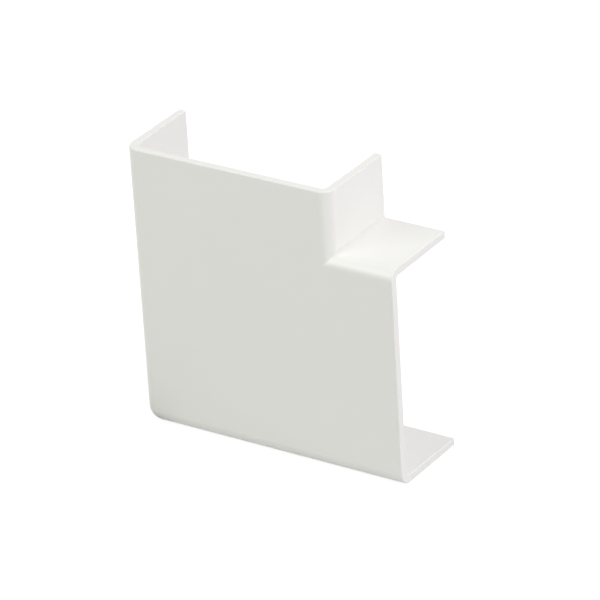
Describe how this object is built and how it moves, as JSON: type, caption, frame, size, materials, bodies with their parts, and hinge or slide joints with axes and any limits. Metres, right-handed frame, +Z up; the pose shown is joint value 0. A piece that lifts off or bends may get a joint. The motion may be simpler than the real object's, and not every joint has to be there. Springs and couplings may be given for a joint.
{
  "type": "trunking flat angle",
  "caption": "Thin-walled white plastic cover for a right-angle bend in flat mini trunking: an L-shaped plate with side walls, open at the back and at the end of each arm.",
  "frame": {"origin": "bottom centre of the overall box: middle of the width and of the depth, on the plane that the bottom wall stands on", "axes": "+Z up along the upright arm, +X right along the level arm, +Y back towards the wall that the trunking is fixed to, so the plain face looks along -Y"},
  "size_m": [0.056, 0.0182, 0.0561],
  "materials": {
    "white_plastic": "satin off-white, as moulded"
  },
  "bodies": {
    "root": {"flat_angle": "white_plastic"}
  },
  "joints": []
}
